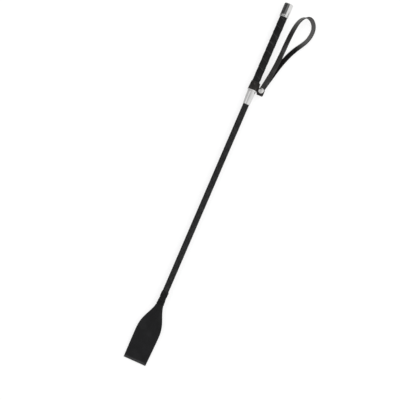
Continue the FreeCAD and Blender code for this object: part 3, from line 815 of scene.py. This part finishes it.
def strap_profile(half, thick):
    """Strap seen end on: creased grain side, rounded painted edges and a flat inner side."""
    top = [(half - 0.42, thick - 0.03), (half - 0.8, thick + 0.01), (half - 1.05, thick - 0.02),
           (half - 1.22, thick - 0.13), (half - 1.4, thick - 0.02), (half - 1.7, thick + 0.02),
           (half * 0.35, thick + 0.02), (0, thick)]
    side = [(half - 0.42, -thick), (half - 0.16, -thick + 0.15), (half - 0.02, -thick * 0.4),
            (half, thick * 0.2), (half - 0.06, thick * 0.62), (half - 0.2, thick * 0.88)]
    right = side + top
    left = [(-a, b) for a, b in right[::-1]][1:]
    return right + left + [(-half * 0.4, -thick), (half * 0.4, -thick)]


def strap_outward(line, roll):
    """Direction of the strap's grain side along its middle line."""
    along = np.gradient(line, axis=0)
    along /= np.linalg.norm(along, axis=1)[:, None]
    level = along * (1, 1, 0)
    level /= np.linalg.norm(level, axis=1)[:, None]
    left = np.stack([-level[:, 1], level[:, 0], 0 * roll], 1)
    return np.array([0, 0, 1]) * np.cos(roll)[:, None] + left * np.sin(roll)[:, None]


def strap_wear_and_light(line, far, sections):
    """Paler places: wear at the edges and in patches, and painted light on both sides towards the
    top of the loop.
    """
    a, thick = sections[..., 0], STRAP_THICK
    edge = np.clip(1 - (SECTION_HALF - np.abs(a)) / 0.9, 0, 1)
    bends = smoothstep(1.6 * ripple(far[:, None], a, size=11.0, seed=4.0) - 0.2)
    # painted light: both faces of the strap turn paler towards the top of the loop, standing in for
    # the light that falls there
    painted_light_loop_top = smoothstep((line[:, 1] - 36) / 30)[:, None]
    painted_light_loop_inner = smoothstep((line[:, 1] - 16) / 24)[:, None]
    grain_wear_and_light = 0.7 * edge ** 1.5 + 0.2 * bends + 0.75 * painted_light_loop_top
    flesh = sections[..., 1] < -0.5 * thick
    other_wear_and_light = np.where(flesh, 0.9 * painted_light_loop_inner, 0.2 * edge + 0.15 * painted_light_loop_top)
    return np.clip(np.where(sections[..., 1] > thick * 0.9, grain_wear_and_light, other_wear_and_light), 0, 1)


def wrist_strap():
    """Flat leather strap bent into a loop, with both ends on the rivet."""
    route, widths = strap_line()
    line, roll = route[:, :3], np.radians(route[:, 3])
    outward = strap_outward(line, roll)
    far = chord_steps(line)
    sections = []
    for width, s in zip(widths, far):
        full = np.array(strap_profile(SECTION_HALF, STRAP_THICK))
        full[:, 0] *= max(width, 0.02) / SECTION_HALF
        full[:, 0] *= 1 + 0.006 * math.sin(s * 0.31)
        sections.append(full)
    sections = np.array(sections)
    wear = strap_wear_and_light(line, far, sections)
    count = sections.shape[1]
    painted, inner = [2] * 5, [1] * 3
    slots = painted + [0] * (count - 12) + painted[:4] + inner
    skin = Skin()
    skin.sweep(line, outward, sections, slots, wear=wear)
    piece = skin.build("wrist_strap_leather", [STRAP_LEATHER, STRAP_FLESH, EDGE_PAINT], sharp=50)
    drill(piece, RIVET_SHANK + 0.05)
    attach(piece, "strap")
    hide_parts("wrist_strap")


# ---- tongue ----

TONGUE_END, FOLD_RADIUS = 96.2, 1.7
FOLD = TONGUE_END - FOLD_RADIUS
OUTLINE = natural_spline([[7.7], [11.2], [16.7], [20.1], [20.6], [19.6]],
                         [0, 9, 22, 36, 50, TONGUE_END])
LEAN = math.radians(-1.0)
DROOP = math.asin(6.3 / 94.2)
SEAM_INSET, SEAM_START, SEAM_PITCH, SEAM_COUNT = 2.4, 40.0, 3.6, 15
STITCH = 2.9                # length of one stitch


def half_width(d):
    """Half the tongue's width at distances from the hinge line; the neck is before it."""
    neck = np.interp(d, [-24, -19, -6.2, -5, -3, 0], [5.0, 5.05, 5.85, 6.6, 7.0, 7.7])
    return np.where(d < 0, neck, OUTLINE(np.maximum(d, 0))[:, 0])


def half_thickness(d):
    """Half the tongue's thickness; it closes round the fold at the free end."""
    main = np.interp(d, [-19, -6, -3, 0, 3, 6, 10, 14, 18, 23, 32, 86, 92, FOLD],
                     [5.0, 5.8, 5.35, 4.75, 4.25, 3.8, 3.3, 2.93, 2.6, 2.3, 2.0, 2.0, 1.86, 1.7])
    past = np.maximum(d - FOLD, 0) / FOLD_RADIUS
    return main * np.sqrt(np.clip(1 - past ** 2, 0, 1))


def placed(d, x, z):
    """Points of the tongue at a distance from the hinge line, across it and through it."""
    fine = np.linspace(-24, TONGUE_END + 1, 1200)
    bend = smoothstep((fine + 7) / 14)
    lean, droop = LEAN * bend, DROOP * bend
    step = np.gradient(fine)
    ways = np.stack([np.sin(lean), -np.cos(lean) * np.cos(droop), -np.cos(lean) * np.sin(droop)], 1)
    line = np.cumsum(ways * step[:, None], axis=0)
    straight = (0, HINGE.y + 24, 0)
    line = line - line[0] + straight
    centre = np.stack([np.interp(d, fine, line[:, k]) for k in range(3)], -1)
    lean, droop = np.interp(d, fine, lean), np.interp(d, fine, droop)
    side = np.stack([np.cos(lean), np.sin(lean) * np.cos(droop), np.sin(lean) * np.sin(droop)], -1)
    up = np.stack([0 * droop, -np.sin(droop), np.cos(droop)], -1)
    return centre + side * x[..., None] + up * z[..., None]


def tongue_rows():
    """Distances of the tongue's rows from the hinge line, close together where it curves."""
    rows = np.concatenate([np.arange(-23.9, -6, 1.6), np.arange(-6, 38, 0.8),
                           np.arange(38, 86, 1.2), np.arange(86, FOLD, 0.8)])
    return np.concatenate([rows, FOLD + FOLD_RADIUS * np.sin(np.linspace(0, math.pi / 2, 8))])


def tongue_ring(d, w, h):
    """Outline across the tongue at a distance d, where its half sizes are w and h."""
    b, p = smoothstep((d + 3) / 24), max((h - 0.06) / 2, 0.01)
    near = [0.0, 0.05, 0.16, 0.35, 0.62, 1.0]
    seam = [1.55, 1.85, 2.1, 2.4, 2.7, 2.95, 3.3]
    scale = min(1.0, w / 16)
    a = np.array([n * p for n in near] + [s * scale for s in seam])
    inner = np.linspace(w - a[-1], -(w - a[-1]), 17)[1:-1]
    x = np.concatenate([w - a, inner, -(w - a[::-1])])
    off = w - np.abs(x)
    flat = np.where(off < p, h - p + np.sqrt(np.maximum(0, p ** 2 - (p - off) ** 2)), h)
    oval = 0.3 * min(1, h) + (h - 0.3 * min(1, h)) * np.sqrt(np.maximum(0, 1 - (x / w) ** 2))
    z = oval * (1 - b) + flat * b
    seam_on = smoothstep((d - SEAM_START + 2.5) / 2) * smoothstep((TONGUE_END - 1.6 - d) / 1.5)
    z = z - 0.28 * seam_on * np.exp(-((off - SEAM_INSET) / 0.42) ** 4)
    gather = (1 - smoothstep((d - 2) / 34)) * smoothstep((d + 9) / 8)
    pleats = np.cos(x / w * 9.5 + 0.8) * 0.14 + np.cos(x / w * 17 + 2.0) * 0.05
    z = z + gather * pleats * np.clip(off / 2.0, 0, 1)
    still = smoothstep(off / 3) * min(1, h)
    top = z + 0.05 * still * ripple(d + 0 * x, x, size=9.0, seed=2.0)
    low = -z[::-1] - 0.05 * still * ripple(d + 0 * x, x, size=8.0, seed=6.0)
    # the two plies part in a notch along each side, which closes towards the neck
    notch_x = np.array([w - 0.3 * p, w - 0.9 * p])
    notch_z = np.array([h - 1.72 * p, min(0.05, h * 0.3)]) * b + (1 - b) * np.array([0.16, 0.04])
    ring_x = np.concatenate([x, -notch_x, -notch_x[::-1], x[::-1], notch_x, notch_x[::-1]])
    ring_z = np.concatenate([top, notch_z, -notch_z[::-1], low, -notch_z, notch_z[::-1]])
    return ring_x, ring_z


def tongue():
    """Leather folded at the free end, stitched along its sides and gathered round the rod."""
    rows = tongue_rows()
    rings, coords, wear = [], [], []
    for d, w, h in zip(rows, half_width(rows), half_thickness(rows)):
        ring_x, ring_z = tongue_ring(d, w, h)
        here = np.full(len(ring_x), d)
        rings.append(placed(here, ring_x, ring_z))
        side = np.where(ring_z >= 0, 1.0, -1.0)
        coords.append(np.stack([here, ring_x, side * 20 + ring_z], 1))
        rim = np.clip(1 - (w - np.abs(ring_x)) / 1.6, 0, 1) ** 2 * 0.5
        # the fold at the free end is paler: partly wear, partly a painted highlight where the fold
        # catches light
        crest = 0.75 * smoothstep((d - TONGUE_END + 5.2) / 2.6)
        handled = 0.07 * smoothstep(ripple(here, ring_x, size=17.0, seed=3.0) * 1.8 - 0.5)
        wear.append(np.maximum(rim, crest) + handled)
    skin = Skin()
    skin.rings(rings, 0, coords, wear)
    piece = skin.build("tongue_leather_flap", [TONGUE_LEATHER], sharp=50)
    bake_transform(piece)
    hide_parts("tongue_neck", "tongue_leather")


def tongue_seams():
    """Separate stitches, sunk in their grooves and slanted a little, on both faces."""
    skin = Skin()
    share = np.linspace(0, 1, 9)
    for side in (-1, 1):
        for face in (-1, 1):
            for n in range(SEAM_COUNT):
                start = SEAM_START + n * SEAM_PITCH
                d = start + STITCH * share
                middle = half_width(d) - SEAM_INSET
                slant = 0.16 * (share - 0.5) * side * face
                rise = np.sqrt(np.sin(math.pi * share))
                height = half_thickness(d) - 0.78 + 0.66 * rise
                path = placed(d, side * middle + slant, face * height)
                up = np.array([[0, 0, float(face)]] * len(path))
                radius = 0.33 * (0.55 + 0.45 * rise)
                section = np.array(round_section(1.0))[None] * radius[:, None, None]
                skin.sweep(path, up, section, shift=n + 3 * side + face)
    piece = skin.build("tongue_seam_stitches", [SEAM_THREAD], "tongue")
    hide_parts("tongue_stitching")


# ---- what stays from the CAD model ----

def inner_nodes():
    """Procedural finishes for the CAD nodes that stay as they are."""
    finishes = {
        "core_rod": hidden("glass_fibre_rod", (0.42, 0.40, 0.32), (0.62, 0.60, 0.50),
                           900, (1, 0.03, 1), 0.35),
        "filler_yarns": hidden("filler_cotton", (0.010, 0.010, 0.010), (0.024, 0.024, 0.024),
                               1500, (1, 0.08, 1), 0.85),
        "handle_core": hidden("stained_beech", (0.035, 0.024, 0.016), (0.070, 0.050, 0.034),
                              420, (1, 0.06, 1), 0.55),
        "cap_tack": hidden("tack_steel", (0.42, 0.42, 0.43), (0.58, 0.58, 0.59),
                           1200, (1, 0.2, 1), 0.35, metallic=1.0),
        "tongue_stiffener": hidden("pressed_board", (0.16, 0.12, 0.08), (0.26, 0.20, 0.13),
                                   1300, (1, 0.5, 1), 0.85),
    }
    for node, material in finishes.items():
        piece = frame["nodes"][node]
        for slot in piece.material_slots:
            slot.material = material


# ---- floor, light and camera ----

TILT = math.radians(23.2)       # how far the crop leans to the right in the view
ELEVATION = math.radians(84.5)
AIM = Vector((-0.0075, -0.2777, 0.0))
DISTANCE = 5.0


def plane(name, corners, material):
    mesh = bpy.data.meshes.new(name)
    mesh.from_pydata([list(c) for c in corners], [], [tuple(range(len(corners)))])
    mesh.materials.append(material)
    piece = new_object(name, mesh)
    return piece


FLOOR_GLOW = 0.745           # the floor is a light table, which keeps shadows pale


def floor():
    s = Shader("studio_floor", 0.9, 0.1)
    s.glow(FLOOR_GLOW)
    at = s.node("TexCoord").outputs["Object"]
    mottle = s.fitted(s.noise(at, 14.0, 3.0), 0.3, 0.7, 0.0, 1.0)
    colour = s.colours(mottle, (0.245, 0.245, 0.245), (0.255, 0.255, 0.255))
    material = s.finish(colour)
    far, z = 6.0, TABLE_Z * MM
    plane("floor", [(-far, -far, z), (far, -far, z), (far, far, z), (-far, far, z)], material)


def card(name, corners, material_name, strength):
    """Glowing card that is seen only in reflections."""
    s = Shader(material_name, 0.5, 0.0)
    s.glow(strength)
    piece = plane(name, corners, s.finish((0, 0, 0, 1)))
    piece.visible_camera = piece.visible_diffuse = False
    piece.visible_shadow = piece.visible_transmission = False


def between(start, end, y0, y1):
    """Corners of a card that runs along Y, with its sides at two (x, z) places."""
    (x0, z0), (x1, z1) = start, end
    return [(x0, y0, z0), (x0, y1, z0), (x1, y1, z1), (x1, y0, z1)]


def cards():
    """Grey and dark cards that are seen only in reflections."""
    z, wide, far = TABLE_Z * MM + 0.00005, 0.8, 1.2
    left = [(-wide, -far, z), (0, -far, z), (0, far, z), (-wide, far, z)]
    right = [(0, -far, z), (wide, -far, z), (wide, far, z), (0, far, z)]
    strip = between((-0.90, 0.5), (-0.22, 0.5), -0.32, 0.02)
    card("card_floor_left", left, "card_grey_left", 0.52)
    card("card_floor_right", right, "card_grey_right", 0.80)
    card("card_strip_left", strip, "card_pale", 0.77)
    cap_cards(z * 0.98)


def cap_cards(z):
    """Dark surroundings of the butt cap's own, from overhead round to the left and below."""
    y0, y1, height, dark = 0.070, 0.35, 0.165, 0.05
    turn, corner, far = (-0.095, height), (-0.17, height), -0.40
    card("card_over_cap", between((0.070, height), turn, y0, y1), "card_dim", 0.155)
    card("card_near_cap", between(turn, corner, y0, y1), "card_dark", dark)
    card("card_low_cap", between(corner, (far, 0.0), y0, y1), "card_low", dark)
    card("card_under_cap", between((-0.016, z), (far, z), 0.060, y1), "card_black", dark)


def lamp(name, place, aim, size, power):
    data = bpy.data.lights.new(name, "AREA")
    data.shape, data.size, data.energy = "DISK", size, power
    made = new_object(name, data)
    made.location = place
    made.rotation_euler = (Vector(aim) - Vector(place)).to_track_quat("-Z", "Y").to_euler()
    made.visible_camera = made.visible_glossy = False


SKY_DIM, SKY_BRIGHT = 0.50, 0.84


def sky():
    """Studio surroundings: brighter to the right and towards the horizon than overhead."""
    world = bpy.data.worlds.new("studio")
    world.use_nodes = True
    tree = world.node_tree
    where = tree.nodes.new("ShaderNodeTexCoord").outputs["Generated"]
    dot = tree.nodes.new("ShaderNodeVectorMath")
    dot.operation = "DOT_PRODUCT"
    dot.inputs[1].default_value = (0.93, 0.10, -0.35)
    tree.links.new(where, dot.inputs[0])
    spread = tree.nodes.new("ShaderNodeMapRange")
    spread.interpolation_type = "SMOOTHSTEP"
    for key, value in zip(range(1, 5), (-0.7, 0.6, SKY_DIM, SKY_BRIGHT)):
        spread.inputs[key].default_value = value
    tree.links.new(dot.outputs["Value"], spread.inputs[0])
    tree.links.new(spread.outputs[0], tree.nodes["Background"].inputs["Strength"])
    tree.nodes["Background"].inputs["Color"].default_value = (1, 1, 1, 1)
    bpy.context.scene.world = world


def lights():
    sky()
    lamp("softbox_right", (1.5, 0.2, 1.7), AIM, 2.0, 21)
    lamp("softbox_left", (-1.6, -0.4, 1.7), AIM, 2.0, 20)
    lamp("softbox_back", (0.2, 1.7, 1.7), AIM, 2.0, 17)
    scene = bpy.context.scene
    scene.view_settings.view_transform = "Standard"
    scene.view_settings.look = "None"


def camera():
    data = bpy.data.cameras.new("camera")
    data.sensor_width, data.lens = 36, 271.1
    data.clip_start, data.clip_end = 0.05, 50
    back = Vector((0, -math.cos(ELEVATION), math.sin(ELEVATION)))
    up = Vector((-math.sin(TILT), math.cos(TILT), 0))
    up = (up - back * up.dot(back)).normalized()
    right = up.cross(back)
    made = new_object("camera", data)
    place = AIM + back * DISTANCE
    rows = [[right[k], up[k], back[k], place[k]] for k in range(3)]
    made.matrix_world = Matrix(rows + [[0, 0, 0, 1]])
    bpy.context.scene.camera = made


braid()
knot()
whipping()
grip()
butt_cap()
cap_ring()
ferrule_sleeve()
ferrule_bead()
cuff()
rivets()
wrist_strap()
tongue()
tongue_seams()
inner_nodes()
floor()
cards()
lights()
camera()
